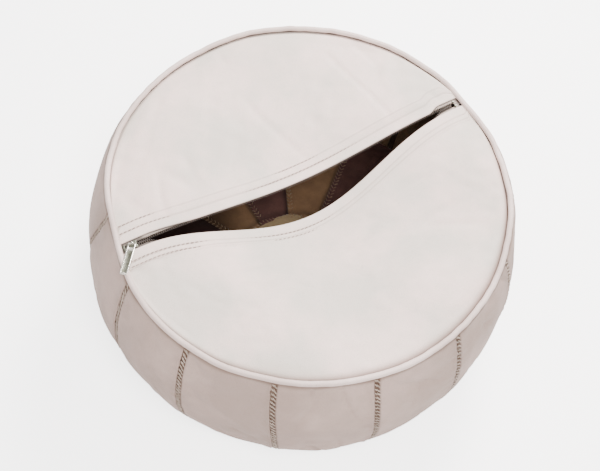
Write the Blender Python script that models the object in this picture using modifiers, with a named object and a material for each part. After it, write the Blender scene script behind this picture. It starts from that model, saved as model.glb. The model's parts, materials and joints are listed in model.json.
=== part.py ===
"""Moroccan leather pouf cover, lying with its zipped closing face up and its mouth open.

A Blender script in metres, +Z up. The origin is on the floor under the pouf's centre, and the zip runs along X.
Fourteen side panels stand between a crown of fourteen gores, which lies on the floor round a medallion, and a
closing face of two half discs. A corded welt edges the closing face, and a zip joins its two halves.
"""

import math

import bmesh
import bpy
from mathutils import Matrix, Vector

MM = 0.001

# Driving dimensions
PANELS = 14  # side panels, and as many crown gores
WELT_RING = 250 * MM  # radius of the welt's centre line
WELT = 5 * MM  # radius of the welt's round section
HEIGHT = 250 * MM  # floor to the top of the welt
BELLY = 281 * MM  # outer radius of the side at half height
LEATHER = 1.6 * MM
SEAM_GAP = 0.8 * MM  # air between two sewn layers
LAP = 8 * MM  # width over which neighbouring panels overlap
MEDALLION = 100 * MM  # corner radius of the crown's medallion

# Side panels
SIDE_TOP = Vector((254 * MM, HEIGHT - 2 * WELT - 0.6 * MM))  # radius and height of the panel's upper edge
SIDE_BAND = 8 * MM  # upright strip of the panel that is sewn to the welt's tails
SIDE_FOOT = Vector((252.5 * MM, 8 * MM))
SIDE_ROWS = 8
FULLNESS = 0.8  # exponent of the side's swelling: below 1 is fuller than a sine arc

# Angles at which a panel or a gore has a column of vertices
STEP_DEG = 360 / PANELS
HALF_LAP_DEG = math.degrees(LAP / 2 / BELLY)
FACETS = 3  # flat facets across one panel
FIRST_SEAM_DEG = 182  # a side seam lies just past the slider's end of the zip
FIRST_GORE_SEAM_DEG = FIRST_SEAM_DEG + STEP_DEG / 2  # the crown's seams are staggered from the sides'
JOGGLE_DEG = 1.0  # width of the step by which a lapped edge rises over its neighbour
LAP_RISE = LEATHER + SEAM_GAP

# Hand-sewn thread over each side seam's lapped edge
LACE = 0.5 * MM  # radius of the thread
LACE_REACH = 4 * MM  # how far it zigzags to each side
LACE_POINTS = 17

# Closing face and zip
ZIP_Y = 30 * MM  # the zip runs this far behind the centre
SLOT = 6.5 * MM  # from the zip's centre line to each leather edge, when closed
HEM = 11 * MM  # width of the folded hem along each lip
SAG = 1.6  # how quickly the droop fades away from the lip
FACE_RIM = WELT_RING - 6.5 * MM  # where the closing face turns down beside the welt
FACE_Z = HEIGHT - 5.5 * MM  # upper side of the closing face at its rim
MOUTH_START = -217 * MM  # the mouth opens beside the parked slider
MOUTH_END = 231 * MM
NEAR_GAPE = Vector((0, -38 * MM, -36 * MM))  # how far the near lip has drooped from the closed zip
FAR_GAPE = Vector((0, -5 * MM, -26 * MM))
NEAR_PEAK = 0.48  # where along the mouth the near lip gapes most, from 0 at -X to 1 at +X
FAR_PEAK = 0.5
GAPE_POWER = 2.2  # above 1, the mouth narrows to a cusp at its ends
ZIP_END = 236 * MM  # half the length of the tapes
CHAIN_END = 231 * MM  # half the length of the rows of teeth
TAPE = 0.6 * MM
TAPE_WIDTH = 14 * MM
TAPE_Z = FACE_Z - LEATHER - 0.4 * MM  # upper side of the tapes
CHAIN = 1.2 * MM  # radius of each row of teeth
CHAIN_Y = 2.8 * MM  # from the zip's centre line to a row's centre, when closed
ZIP_CUTS = 28  # lengths that a tape and a row of teeth are divided into

# Slider and pull tab
SLIDER = Vector((14 * MM, 10 * MM, 1.2 * MM))  # length, width, plate thickness
SLIDER_X = -223 * MM
PLATE_GAP = 3.2 * MM
CROWN_HOLE = 2.0 * MM  # half the width, and half the height, of the hole that the pull tab hooks through
CROWN_WALL = 1.0 * MM
CROWN = 0.9 * MM  # the crown's thickness
TAB_LENGTH = 43 * MM
TAB_WIDTH = 9.2 * MM
TAB = 1.3 * MM  # thickness
TAB_EYE = 6.4 * MM  # width of the eye
TAB_YAW_DEG = 232  # compass direction in which the tab lies, from +X
TAB_RISE_DEG = 5.9  # it leans on the welt


def material(name, colour, roughness, metallic=0.0):
    """A Principled material."""
    made = bpy.data.materials.new(name)
    made.use_nodes = True
    shader = made.node_tree.nodes["Principled BSDF"]
    shader.inputs["Base Color"].default_value = (*colour, 1)
    shader.inputs["Roughness"].default_value = roughness
    shader.inputs["Metallic"].default_value = metallic
    return made


def add(name, mesh_or_curve, finish, smooth_deg=40):
    """Links a new object made of this mesh or curve to the pouf's collection."""
    obj = bpy.data.objects.new(name, mesh_or_curve)
    POUF.objects.link(obj)
    mesh_or_curve.materials.append(finish)
    if obj.type == "MESH":
        mesh_or_curve.shade_smooth()
        mesh_or_curve.set_sharp_from_angle(angle=math.radians(smooth_deg))
    return obj


def solidify(obj, thickness):
    """Gives an open surface its thickness, on the side that its normals point away from."""
    shell = obj.modifiers.new("Thickness", "SOLIDIFY")
    shell.thickness = thickness
    shell.offset = -1
    return obj


def grid_mesh(name, columns, rows, place):
    """A grid mesh with the vertex of each column and row at place(column, row)."""
    bm = bmesh.new()
    bmesh.ops.create_grid(bm, x_segments=columns - 1, y_segments=rows - 1, size=0.5)
    for vertex in bm.verts:
        column = round((vertex.co.x + 0.5) * (columns - 1))
        row = round((vertex.co.y + 0.5) * (rows - 1))
        vertex.co = place(column, row)
    mesh = bpy.data.meshes.new(name)
    bm.to_mesh(mesh)
    bm.free()
    return mesh


def offset_line(points, distance):
    """A 2D polyline moved sideways, to the right of its direction of travel."""
    moved = []
    for i, point in enumerate(points):
        along = (points[min(i + 1, len(points) - 1)] - points[max(i - 1, 0)]).normalized()
        moved.append(point + distance * Vector((along.y, -along.x)))
    return moved


def turned(point, degrees):
    """The 3D point at this radius and height, at an angle round Z."""
    angle = math.radians(degrees)
    return Vector((point.x * math.cos(angle), point.x * math.sin(angle), point.y))


def panel_columns():
    """(angle, lapped) of each column of a side panel or a gore, from its edge that lies under to its lapped edge."""
    inner = [(STEP_DEG * i / FACETS, False) for i in range(1, FACETS)]
    lap_starts = STEP_DEG - HALF_LAP_DEG - JOGGLE_DEG / 2
    return [
        (-HALF_LAP_DEG, False),
        *inner,
        (lap_starts - JOGGLE_DEG, False),
        (lap_starts, True),
        (STEP_DEG + HALF_LAP_DEG, True),
    ]


def side_profile():
    """Outer side of a side panel in section, as (radius, height), from the foot up."""
    shoulder = Vector((SIDE_TOP.x, SIDE_TOP.y - SIDE_BAND))
    points = []
    for i in range(SIDE_ROWS):
        share = i / (SIDE_ROWS - 1)
        base = SIDE_FOOT.lerp(shoulder, share)
        swell = (BELLY - WELT_RING - 3 * MM) * math.sin(math.pi * share) ** FULLNESS
        points.append(base + Vector((swell, 0)))
    return [*points, SIDE_TOP]


def gore_profile():
    """Outer side of a crown gore in section, from the medallion outwards and up inside the side panel's foot."""
    inner_end = MEDALLION - LAP
    return [
        Vector((inner_end, LAP_RISE)),
        Vector((MEDALLION + 2 * MM, LAP_RISE)),
        Vector((MEDALLION + 6 * MM, 0)),
        Vector((235 * MM, 0)),
        Vector((245 * MM, 2 * MM)),
        Vector((249 * MM, 8 * MM)),
        Vector((254.5 * MM, 20 * MM)),
    ]


def panel_mesh(name, profile, rise):
    """The mesh of a panel whose lapped edge is moved by rise to the right of the profile, which is its outside."""
    columns = panel_columns()
    lapped = offset_line(profile, rise)

    def place(column, row):
        degrees, on_top = columns[column]
        return turned((lapped if on_top else profile)[row], degrees)

    return grid_mesh(name, len(columns), len(profile), place)


def add_ring_of_panels(name, mesh, finish, first_deg):
    """One object for each panel, turned round Z about the pouf's centre."""
    for i in range(PANELS):
        panel = bpy.data.objects.new(f"{name}_{i + 1:02d}", mesh)
        POUF.objects.link(panel)
        panel.rotation_euler.z = math.radians(first_deg + i * STEP_DEG)
        solidify(panel, LEATHER)
    mesh.materials.append(finish)
    mesh.shade_smooth()


def side_panels():
    """Outside is to the right of the profile, which runs up, so the lapped edge moves outwards."""
    mesh = panel_mesh("side_panel", side_profile(), LAP_RISE)
    add_ring_of_panels("side_panel", mesh, LEATHER_OUT, FIRST_SEAM_DEG)


def crown_gores():
    """The gore's outside is to the right of its profile, and its lapped edge lies inside its neighbour."""
    mesh = panel_mesh("crown_gore", gore_profile(), -LAP_RISE)
    add_ring_of_panels("crown_gore", mesh, LEATHER_IN, FIRST_GORE_SEAM_DEG)


def side_laces():
    """The herringbone thread of each side seam, a zigzag across the lapped edge."""
    profile = offset_line(side_profile(), LAP_RISE + LACE + 0.4 * MM)
    lengths = [0]
    for a, b in zip(profile, profile[1:]):
        lengths.append(lengths[-1] + (b - a).length)

    def on_profile(distance):
        i = max(j for j in range(len(profile) - 1) if lengths[j] <= distance)
        return profile[i].lerp(profile[i + 1], (distance - lengths[i]) / (lengths[i + 1] - lengths[i]))

    curve = bpy.data.curves.new("side_lace", "CURVE")
    curve.dimensions = "3D"
    curve.bevel_depth = LACE
    curve.bevel_resolution = 0
    curve.use_fill_caps = True
    zigzag = curve.splines.new("POLY")
    zigzag.points.add(LACE_POINTS - 1)
    start, end = 6 * MM, lengths[-1] - 4 * MM
    for i, point in enumerate(zigzag.points):
        where = on_profile(start + (end - start) * i / (LACE_POINTS - 1))
        side = 1 if i % 2 else -1
        degrees = HALF_LAP_DEG + side * math.degrees(LACE_REACH / where.x)
        point.co = (*turned(where, degrees), 1)
    curve.materials.append(THREAD)
    for i in range(PANELS):
        lace = bpy.data.objects.new(f"side_lace_{i + 1:02d}", curve)
        POUF.objects.link(lace)
        lace.rotation_euler.z = math.radians(FIRST_SEAM_DEG + i * STEP_DEG)


def medallion():
    """The flat polygon at the crown's centre, under the inner ends of the gores."""
    bpy.ops.mesh.primitive_cylinder_add(vertices=PANELS, radius=MEDALLION, depth=LEATHER)
    plate = bpy.context.object
    plate.name = "crown_medallion"
    plate.location.z = LEATHER / 2
    plate.rotation_euler.z = math.radians(FIRST_GORE_SEAM_DEG)
    for collection in list(plate.users_collection):
        collection.objects.unlink(plate)
    POUF.objects.link(plate)
    plate.data.materials.append(LEATHER_IN)


def gape(x, peak):
    """How far open a lip is at x, from 0 at the mouth's ends to 1 at its peak."""
    share = min(max((x - MOUTH_START) / (MOUTH_END - MOUTH_START), 0), 1)
    skewed = share ** (math.log(0.5) / math.log(peak))
    return math.sin(math.pi * skewed) ** GAPE_POWER


class Lip:
    """One lip of the mouth: side is -1 for the near half and +1 for the far half."""

    def __init__(self, name, side, droop, peak):
        self.name = name
        self.side = side
        self.droop = droop
        self.peak = peak

    def point(self, x, from_zip, z):
        """A point this far from the zip's centre line on this lip's side, as the open mouth carries it."""
        return Vector((x, ZIP_Y + self.side * from_zip, z)) + self.droop * gape(x, self.peak)


def half_panel(lip):
    """A half disc between its lip and the rim, with the rim turned down beside the welt."""
    rows = 9

    def rim_angle(from_zip):
        """How far round the rim from the X axis this distance from the zip's centre line lies."""
        return lip.side * math.asin((ZIP_Y + lip.side * from_zip) / FACE_RIM)

    def on_circle(angle):
        """A point of the rim, at this angle from -X towards the lip's own side."""
        return Vector((-FACE_RIM * math.cos(angle), lip.side * FACE_RIM * math.sin(angle), FACE_Z))

    def row_of_lip(u, from_zip):
        half = math.sqrt(FACE_RIM**2 - (ZIP_Y + lip.side * from_zip) ** 2)
        return lip.point(half * (2 * u - 1), from_zip, FACE_Z)

    hem_angle = rim_angle(SLOT + HEM)

    def rim(share):
        return on_circle(hem_angle + (math.pi - 2 * hem_angle) * share)

    def place(column, row):
        """The lip's edge, then a Coons patch between the hem, the rim's middle and the rim's two ends."""
        u = column / ZIP_CUTS
        if row == 0:
            return row_of_lip(u, SLOT)
        v = (row - 1) / (rows - 2)
        across = row_of_lip(u, SLOT + HEM) * (1 - v) + rim(0.25 + 0.5 * u) * v
        along = rim(0.25 * v) * (1 - u) + rim(1 - 0.25 * v) * u
        corners = (rim(0) * (1 - u) + rim(1) * u) * (1 - v) + (rim(0.25) * (1 - u) + rim(0.75) * u) * v
        flat = across + along - corners
        flat.z = FACE_Z + (row_of_lip(u, SLOT + HEM).z - FACE_Z) * (1 - v) ** SAG
        return flat

    mesh = grid_mesh(lip.name, ZIP_CUTS + 1, rows, place)
    bm = bmesh.new()
    bm.from_mesh(mesh)
    turn_down_rim(bm)
    bm.faces.ensure_lookup_table()
    if bm.faces[0].normal.z < 0:
        bmesh.ops.reverse_faces(bm, faces=bm.faces[:])
    bm.to_mesh(mesh)
    bm.free()
    return solidify(add(f"{lip.name}_half_panel", mesh, LEATHER_OUT), LEATHER)


def turn_down_rim(bm):
    """Extrudes the edges on the rim outwards under the welt, and down as a seam allowance."""
    steps = [(1 * MM, -2 * MM), (3 * MM, -5.3 * MM), (3.5 * MM, -13.5 * MM)]
    bm.normal_update()
    edges = [e for e in bm.edges if e.is_boundary and all(on_rim(v) for v in e.verts)]
    for out, down in steps:
        made = bmesh.ops.extrude_edge_only(bm, edges=edges)["geom"]
        edges = [g for g in made if isinstance(g, bmesh.types.BMEdge)]
        for vertex in (g for g in made if isinstance(g, bmesh.types.BMVert)):
            plan = vertex.co.xy.normalized() * (FACE_RIM + out)
            vertex.co = (plan.x, plan.y, FACE_Z + down)
    bm.normal_update()


def on_rim(vertex):
    return abs(vertex.co.xy.length - FACE_RIM) < 1e-5 and abs(vertex.co.z - FACE_Z) < 1e-5


def ribbon(name, lip, near, far, top, thickness, finish):
    """A strip along a lip, from near to far of the zip's centre line, with its upper side at top."""

    def place(column, row):
        x = ZIP_END * (2 * column / ZIP_CUTS - 1)
        return lip.point(x, (near, far)[row], top)

    mesh = grid_mesh(name, ZIP_CUTS + 1, 2, place)
    strip = add(name, mesh, finish)
    if mesh.polygons[0].normal.z < 0:
        mesh.flip_normals()
    return solidify(strip, thickness)


def zip_tape(lip):
    """The woven tape, sewn under the lip's hem."""
    return ribbon(f"{lip.name}_zip_tape", lip, CHAIN_Y + CHAIN + 0.3 * MM, CHAIN_Y + TAPE_WIDTH, TAPE_Z, TAPE, TAPE_CLOTH)


def zip_chain(lip):
    """The row of teeth on the tape's free edge."""
    curve = bpy.data.curves.new(f"{lip.name}_zip_chain", "CURVE")
    curve.dimensions = "3D"
    curve.bevel_depth = CHAIN
    curve.bevel_resolution = 1
    curve.use_fill_caps = True
    row = curve.splines.new("POLY")
    row.points.add(ZIP_CUTS)
    for i, point in enumerate(row.points):
        x = CHAIN_END * (2 * i / ZIP_CUTS - 1)
        point.co = (*lip.point(x, CHAIN_Y, TAPE_Z - TAPE / 2), 1)
    return add(curve.name, curve, TEETH)


def box(name, low, high, finish, bevel=0.0):
    """A box between two corners."""
    bm = bmesh.new()
    bmesh.ops.create_cube(bm, size=1)
    size = high - low
    bmesh.ops.transform(bm, matrix=Matrix.LocRotScale((low + high) / 2, None, size), verts=bm.verts)
    mesh = bpy.data.meshes.new(name)
    bm.to_mesh(mesh)
    bm.free()
    made = add(name, mesh, finish)
    if bevel:
        edges = made.modifiers.new("Rounding", "BEVEL")
        edges.width = bevel
        edges.segments = 2
    return made


def boolean(obj, other, operation):
    """Joins another object into obj, or cuts it away, and keeps the other as a hidden helper."""
    step = obj.modifiers.new(operation.title(), "BOOLEAN")
    step.operation = operation
    step.object = other
    other.hide_render = True
    other.display_type = "WIRE"
    POUF.objects.unlink(other)
    CUTTERS.objects.link(other)


def slider():
    """Two plates joined by a post at the open side, with a crown on top for the pull tab."""
    half = SLIDER / 2
    middle = TAPE_Z - TAPE / 2
    top = middle + PLATE_GAP / 2
    floor = middle - PLATE_GAP / 2

    def at(x, y, z):
        return Vector((SLIDER_X + x, ZIP_Y + y, z))

    body = box("zip_slider", at(-half.x, -half.y, top), at(half.x, half.y, top + SLIDER.z), NICKEL, 0.4 * MM)
    low = box("slider_lower", at(-half.x, -half.y, floor - SLIDER.z), at(half.x, half.y, floor), NICKEL)
    post = box(
        "slider_post",
        at(half.x - 4 * MM, -1 * MM, floor - SLIDER.z / 2),
        at(half.x - 1 * MM, 1 * MM, top + SLIDER.z / 2),
        NICKEL,
    )
    crown_out = CROWN_HOLE + CROWN_WALL
    hinge_z = top + SLIDER.z + CROWN_HOLE
    crown = box(
        "slider_crown",
        at(-crown_out, -CROWN / 2, top + SLIDER.z / 2),
        at(crown_out, CROWN / 2, hinge_z + crown_out),
        NICKEL,
    )
    hole = box(
        "slider_crown_hole",
        at(-CROWN_HOLE, -2 * MM, top + SLIDER.z),
        at(CROWN_HOLE, 2 * MM, hinge_z + CROWN_HOLE),
        NICKEL,
    )
    boolean(crown, hole, "DIFFERENCE")
    for piece in (low, post, crown):
        boolean(body, piece, "UNION")
    return at(0, 0, hinge_z)


def pull_tab(hinge):
    """A flat tab with an eye whose end bar runs through the slider's crown. Its origin is on the hinge axis."""
    pivot = bpy.data.objects.new("pull_tab_pivot", None)
    POUF.objects.link(pivot)
    pivot.location = hinge
    pivot.rotation_euler = (0, -math.radians(TAB_RISE_DEG), math.radians(TAB_YAW_DEG))
    bar = 0.6 * MM
    tab = box(
        "pull_tab",
        Vector((-bar, -TAB_WIDTH / 2, -bar)),
        Vector((TAB_LENGTH, TAB_WIDTH / 2, TAB - bar)),
        NICKEL,
    )
    eye = box(
        "pull_tab_eye",
        Vector((bar, -TAB_EYE / 2, -3 * MM)),
        Vector((bar + 5 * MM, TAB_EYE / 2, 3 * MM)),
        NICKEL,
    )
    boolean(tab, eye, "DIFFERENCE")
    for piece in (tab, eye):
        piece.parent = pivot


def zip_stops():
    """The bottom stop bridges both tapes at the slider's end, and each tape has a top stop at the other."""
    low, high = TAPE_Z + 0.4 * MM, FACE_Z + 0.4 * MM

    def block(name, x, length, y_from, y_to):
        corners = Vector((x, ZIP_Y + y_from, low)), Vector((x + length, ZIP_Y + y_to, high))
        box(name, *corners, NICKEL, 0.3 * MM)

    block("zip_bottom_stop", -ZIP_END + 1 * MM, 3 * MM, -4 * MM, 4 * MM)
    block("near_zip_top_stop", ZIP_END - 4.5 * MM, 3 * MM, -4.6 * MM, -1.6 * MM)
    block("far_zip_top_stop", ZIP_END - 4.5 * MM, 3 * MM, 1.6 * MM, 4.6 * MM)


def welt():
    """A leather strip folded round a cord, with its two tails hanging between the face and the side panels."""
    centre = Vector((WELT_RING, HEIGHT - WELT))
    tail = 1.2 * MM
    tail_foot = centre.y - 15 * MM
    opening = math.asin(tail / WELT)
    arc_points = 8
    profile = [Vector((centre.x + tail, tail_foot))]
    for i in range(arc_points):
        angle = -math.pi / 2 + opening + (2 * math.pi - 2 * opening) * i / (arc_points - 1)
        profile.append(centre + WELT * Vector((math.cos(angle), math.sin(angle))))
    profile.append(Vector((centre.x - tail, tail_foot)))
    steps = PANELS * FACETS

    def place(column, row):
        return turned(profile[row], FIRST_SEAM_DEG + 360 * column / steps)

    mesh = grid_mesh("welt_cover", steps + 1, len(profile), place)
    bm = bmesh.new()
    bm.from_mesh(mesh)
    bmesh.ops.remove_doubles(bm, verts=bm.verts, dist=1e-6)
    bm.to_mesh(mesh)
    bm.free()
    solidify(add("welt_cover", mesh, LEATHER_OUT), 0.9 * MM)
    bpy.ops.mesh.primitive_torus_add(
        major_radius=WELT_RING,
        minor_radius=WELT - 1.5 * MM,
        major_segments=steps,
        minor_segments=6,
        location=(0, 0, centre.y),
        rotation=(0, 0, math.radians(FIRST_SEAM_DEG)),
    )
    cord = bpy.context.object
    cord.name = "welt_cord"
    for collection in list(cord.users_collection):
        collection.objects.unlink(cord)
    POUF.objects.link(cord)
    cord.data.materials.append(CORD)


for old in list(bpy.data.objects):
    bpy.data.objects.remove(old)
POUF = bpy.data.collections.new("moroccan_leather_pouf")
CUTTERS = bpy.data.collections.new("cutters")
bpy.context.scene.collection.children.link(POUF)
bpy.context.scene.collection.children.link(CUTTERS)

LEATHER_OUT = material("white leather", (0.80, 0.74, 0.72), 0.6)
LEATHER_IN = material("raw leather", (0.35, 0.24, 0.16), 0.8)
THREAD = material("waxed thread", (0.42, 0.34, 0.25), 0.7)
CORD = material("cotton cord", (0.75, 0.70, 0.60), 0.9)
TAPE_CLOTH = material("zip tape", (0.55, 0.48, 0.40), 0.85)
TEETH = material("zip teeth", (0.55, 0.53, 0.50), 0.45, 0.4)
NICKEL = material("nickel", (0.66, 0.65, 0.62), 0.3, 1.0)

NEAR = Lip("near", -1, NEAR_GAPE, NEAR_PEAK)
FAR = Lip("far", 1, FAR_GAPE, FAR_PEAK)

side_panels()
crown_gores()
side_laces()
medallion()
for mouth_lip in (NEAR, FAR):
    half_panel(mouth_lip)
    zip_tape(mouth_lip)
    zip_chain(mouth_lip)
zip_stops()
pull_tab(slider())
welt()
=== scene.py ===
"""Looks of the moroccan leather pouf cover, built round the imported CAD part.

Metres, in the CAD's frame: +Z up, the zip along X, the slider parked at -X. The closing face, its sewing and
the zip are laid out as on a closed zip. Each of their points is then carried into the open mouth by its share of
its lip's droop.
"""

import json
import math

import bmesh
import bpy
import numpy as np
from mathutils import Matrix, Vector


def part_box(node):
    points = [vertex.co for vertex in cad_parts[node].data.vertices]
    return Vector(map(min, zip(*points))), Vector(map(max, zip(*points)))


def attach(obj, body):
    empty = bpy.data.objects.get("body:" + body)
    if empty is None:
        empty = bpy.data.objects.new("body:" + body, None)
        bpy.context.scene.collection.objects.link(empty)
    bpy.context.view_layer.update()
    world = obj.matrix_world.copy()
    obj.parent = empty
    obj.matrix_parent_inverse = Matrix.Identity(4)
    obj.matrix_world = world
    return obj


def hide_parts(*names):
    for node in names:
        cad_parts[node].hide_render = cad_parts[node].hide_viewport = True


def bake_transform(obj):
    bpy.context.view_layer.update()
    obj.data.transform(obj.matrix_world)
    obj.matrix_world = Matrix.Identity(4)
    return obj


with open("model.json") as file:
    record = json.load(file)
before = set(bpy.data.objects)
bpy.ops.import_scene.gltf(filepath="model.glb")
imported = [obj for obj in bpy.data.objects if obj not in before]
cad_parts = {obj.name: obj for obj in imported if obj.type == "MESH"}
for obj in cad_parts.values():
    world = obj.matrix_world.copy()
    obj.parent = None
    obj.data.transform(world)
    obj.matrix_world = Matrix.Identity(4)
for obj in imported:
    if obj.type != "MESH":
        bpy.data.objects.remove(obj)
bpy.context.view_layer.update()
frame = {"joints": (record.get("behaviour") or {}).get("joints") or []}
MM = 0.001


def middle(node):
    """Centre of a CAD node's box."""
    low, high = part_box(node)
    return (low + high) / 2


def joint(name):
    """A joint of the record."""
    return next(j for j in frame["joints"] if j["name"] == name)


# Places taken from the CAD
PANELS = 14
STEP = 2 * math.pi / PANELS
FIRST_SEAM = math.radians(182)
FIRST_GORE_SEAM = FIRST_SEAM + STEP / 2
WELT = 5 * MM
RING = (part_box("welt_cover")[1].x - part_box("welt_cover")[0].x) / 2 - WELT
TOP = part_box("welt_cover")[1].z
FACE_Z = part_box("far_half_panel")[1].z
TAPE_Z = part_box("far_zip_tape")[1].z
ZIP_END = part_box("far_zip_tape")[1].x
CHAIN_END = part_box("far_zip_chain")[1].x
ZIP_Y = middle("zip_slider").y
SLIDER_X = middle("zip_slider").x
MEDALLION = (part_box("crown_medallion")[1].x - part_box("crown_medallion")[0].x) / 2

TINT = (1.0, 0.955, 0.935)  # of all the light

# Sides
ROLL = 3.5 * MM  # radius of the welt, which is squeezed a little slimmer than the CAD's
SIDE_TOP = np.array([RING + 3.0 * MM, TOP - ROLL - 0.6 * MM])
SIDE_FOOT = np.array([RING + 2 * MM, 5 * MM])
SWELL = 27 * MM
FULLNESS = 0.8
PUFF = {12: 2.0 * MM, 13: 2.5 * MM, 0: 1.5 * MM, 1: -7.5 * MM}  # how far a panel stands out between its seams
PUFF_ELSEWHERE = -2.5 * MM
SEAM_STRAY = {  # degrees by which a seam strays from its even place, at the foot and at the top
    0: (3.0, 1.5),
    1: (0.5, 0.0),
    2: (1.2, -1.3),
    3: (1.2, -0.6),
    4: (-1.7, -1.2),
    13: (-2.0, 5.0),
}
LEATHER = 1.6 * MM
SEAM_BAND = 3.8 * MM  # half the width of a laced seam
LACE_PITCH = 7.6 * MM
LACE_THREAD = 0.8 * MM
LACE_STRANDS = ((-2.8, 1.2, 3.4, -0.4), (-0.3, 4.0, 6.2, 0.0))  # from and to across the seam, drop, lift: mm

# Closing face
SLOT = 6.5 * MM  # from the zip's centre line to the leather edge
HEM = 24 * MM
HEM_RIGID = 12 * MM
HEM_ZONE = 30 * MM
FACE_REACH = 245 * MM
NOSE = ((1.0, -1.7), (0.35, -1.2), (0, -0.4), (0.3, 0.3), (1.0, 0.8))  # the fold: in from the edge and up, mm
HEM_ROWS = np.arange(2.2, 30, 1.1)  # distances of the face's rows from the lip, in mm
RIM_ROWS = [238, 240, 241.5, 242.8, 244, 245]
FACE_ROWS = np.concatenate([HEM_ROWS, np.linspace(34, 235, 50), RIM_ROWS]) * MM
SAG = 1.6
MOUTH_START = -217 * MM
MOUTH_END = 231 * MM
GAPE_POWER = 2.2
FACE_COLUMNS = 170
TEETH_PITCH = 2.6 * MM
STITCH_PITCH = 5.4 * MM
TAPE_TUCK = 5 * MM  # how far the tape goes on beyond the CAD's, turned down beside the welt
RIM_PINCH = ((167, 0.036, 0.31), (6.9, 0.013, 0.31))  # by the zip's ends: degrees round Z, depth and width
SLIDER_SLOT = (130 * MM, 75 * MM)  # where the leather starts to draw back from the slider, and over how much
STOP_SLOT = (195 * MM, 17 * MM)  # the same, towards the top stops


# --- Shapes ---------------------------------------------------------------------------------------------------


def ripples(points, wavelength, seed, waves=14):
    """Smooth noise of about unit size at each point, a sum of sine waves in seeded random directions."""
    rng = np.random.default_rng(seed)
    directions = rng.normal(size=(waves, 3))
    directions /= np.linalg.norm(directions, axis=1, keepdims=True)
    lengths = wavelength * rng.uniform(0.7, 1.4, (waves, 1))
    phases = rng.uniform(0, 2 * math.pi, waves)
    return np.sin(points @ (2 * math.pi * directions / lengths).T + phases).sum(-1) * math.sqrt(2 / waves)


def bell(distance, width):
    """1 at no distance, and fading to 0 beyond the width."""
    return np.exp(-((distance / width) ** 2))


def smooth(t):
    """Eases from 0 to 1 as t goes from 0 to 1."""
    t = np.clip(t, 0, 1)
    return t * t * (3 - 2 * t)


def pinch(angle):
    """Share of its plain radius to which the rim is drawn in, at an angle round Z."""
    share = np.ones_like(angle)
    for at, depth, width in RIM_PINCH:
        off = (angle - math.radians(at) + math.pi) % (2 * math.pi) - math.pi
        share = share - depth * bell(off, width)
    return share


def wander(angle):
    """How far the rim strays outwards from its drawn-in circle."""
    return 0.4 * MM * ripples(around(RING, angle, 0.0), 0.09, 31)


def folds(x, y, lean, wavelength, seed):
    """Strength, from 0 to 1, of long folds that lie at a slant of so many degrees in the plane."""
    slant = math.radians(lean)
    along = x * math.cos(slant) + y * math.sin(slant)
    across = -x * math.sin(slant) + y * math.cos(slant)
    stretched = np.stack([along / 5, across, np.zeros_like(along)], -1)
    return bell(ripples(stretched, wavelength, seed), 0.3)


def around(radius, angle, z):
    """Points at these radii, angles round Z and heights."""
    radius, angle, z = np.broadcast_arrays(radius, angle, z)
    return np.stack([radius * np.cos(angle), radius * np.sin(angle), z], -1)


def new_piece(name, vertices, faces, *materials):
    """A smooth-shaded mesh object."""
    mesh = bpy.data.meshes.new(name)
    mesh.from_pydata(np.asarray(vertices).reshape(-1, 3).tolist(), [], faces)
    for made in materials:
        mesh.materials.append(made)
    mesh.shade_smooth()
    piece = bpy.data.objects.new(name, mesh)
    bpy.context.scene.collection.objects.link(piece)
    return piece


def grid_faces(rows, columns, closed=False):
    """Quads of a grid numbered row by row. A closed grid joins its last column to its first."""
    faces = []
    for r in range(rows - 1):
        here, after = r * columns, (r + 1) * columns
        for c in range(columns if closed else columns - 1):
            right = (c + 1) % columns
            faces.append((here + c, here + right, after + right, after + c))
    return faces


def loop_faces(rows, columns):
    """Quads of a grid whose last row joins its first, with a cap on each end column."""
    faces = []
    for r in range(rows):
        here, after = r * columns, (r + 1) % rows * columns
        for c in range(columns - 1):
            faces.append((here + c, here + c + 1, after + c + 1, after + c))
    faces.append(tuple(r * columns for r in range(rows)))
    faces.append(tuple(r * columns + columns - 1 for r in reversed(range(rows))))
    return faces


def sheet(name, grid, *materials, closed=False):
    """A surface through a (rows, columns, 3) array of points."""
    return new_piece(name, grid, grid_faces(grid.shape[0], grid.shape[1], closed), *materials)


def store(piece, name, values):
    """Keeps a value for each vertex of a piece."""
    attribute = piece.data.attributes.new(name, "FLOAT", "POINT")
    attribute.data.foreach_set("value", np.asarray(values, np.float32).ravel())


def bake(piece):
    """Applies a piece's modifiers."""
    graph = bpy.context.evaluated_depsgraph_get()
    made = piece.evaluated_get(graph)
    mesh = bpy.data.meshes.new_from_object(made, preserve_all_data_layers=True, depsgraph=graph)
    piece.modifiers.clear()
    piece.data = mesh


def thicken(piece, thickness, inner_slot=0):
    """Makes a sheet a solid, on the side that its normals point away from."""
    shell = piece.modifiers.new("Thickness", "SOLIDIFY")
    shell.thickness = thickness
    shell.offset = -1
    shell.material_offset = inner_slot
    bake(piece)


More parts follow.
